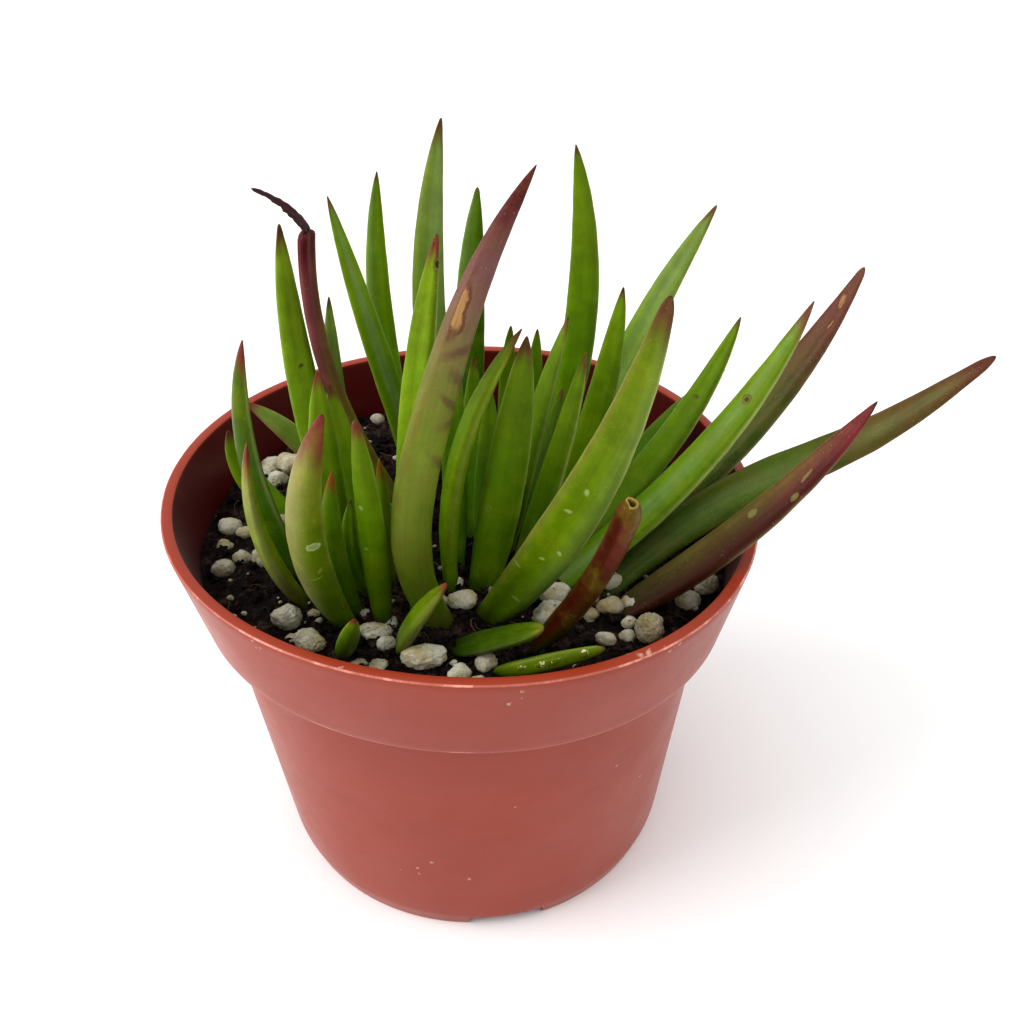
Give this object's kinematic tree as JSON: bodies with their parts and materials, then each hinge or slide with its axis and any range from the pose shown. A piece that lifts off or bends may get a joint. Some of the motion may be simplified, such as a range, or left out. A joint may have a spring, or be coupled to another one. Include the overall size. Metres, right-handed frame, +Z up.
{
  "type": "potted crassula",
  "caption": "Clump of long, pointed, fleshy leaves growing from dark potting soil with pale grains, in a round tapered plastic pot with a stepped collar.",
  "frame": {"origin": "centre of the pot's foot, on the pot's axis, at the height of the surface it stands on", "axes": "+Z up along the pot's axis; -Y the front; +X to the right, the side where the leaves reach furthest past the rim"},
  "size_m": [0.1627, 0.1189, 0.156],
  "materials": {
    "pot": "satin",
    "soil": "matte",
    "stem": "matte",
    "perlite": "matte",
    "green": "satin",
    "dark": "satin",
    "pale": "satin",
    "bronze": "satin",
    "red": "satin",
    "withered": "matte"
  },
  "bodies": {
    "root": {"pot": "pot", "soil": "soil", "left_stem": "stem", "left_back_stem": "stem", "back_stem": "stem", "centre_stem": "stem", "right_stem": "stem", "front_stem": "stem", "right_front_stem": "stem", "grain_front": "perlite", "grain_left_front": "perlite", "grain_left": "perlite", "grain_right": "perlite", "grain_pale": "perlite", "grain_far_right": "perlite", "left_leaf_1": "pale", "left_leaf_2": "green", "left_leaf_3": "green", "left_leaf_4": "dark", "left_leaf_5": "dark", "left_leaf_6": "green", "left_leaf_7": "green", "left_leaf_8": "dark", "left_leaf_9": "pale", "left_leaf_10": "green", "back_leaf_1": "dark", "back_leaf_2": "dark", "back_leaf_3": "dark", "back_leaf_4": "green", "back_leaf_5": "green", "back_leaf_6": "green", "back_leaf_7": "dark", "back_leaf_8": "dark", "bronze_leaf": "bronze", "centre_leaf_1": "green", "centre_leaf_2": "green", "centre_leaf_3": "green", "centre_leaf_4": "green", "centre_leaf_5": "dark", "centre_leaf_6": "dark", "centre_leaf_7": "green", "centre_leaf_8": "green", "centre_leaf_9": "green", "centre_leaf_10": "dark", "centre_leaf_11": "green", "big_leaf": "green", "right_leaf_1": "green", "right_leaf_2": "green", "right_leaf_3": "green", "right_leaf_4": "dark", "right_leaf_5": "green", "right_leaf_6": "bronze", "right_leaf_7": "green", "red_leaf": "red", "cut_leaf": "red", "withered_leaf": "withered", "front_leaf_1": "pale", "front_leaf_2": "green", "front_leaf_3": "pale", "front_leaf_4": "green"}
  },
  "joints": []
}
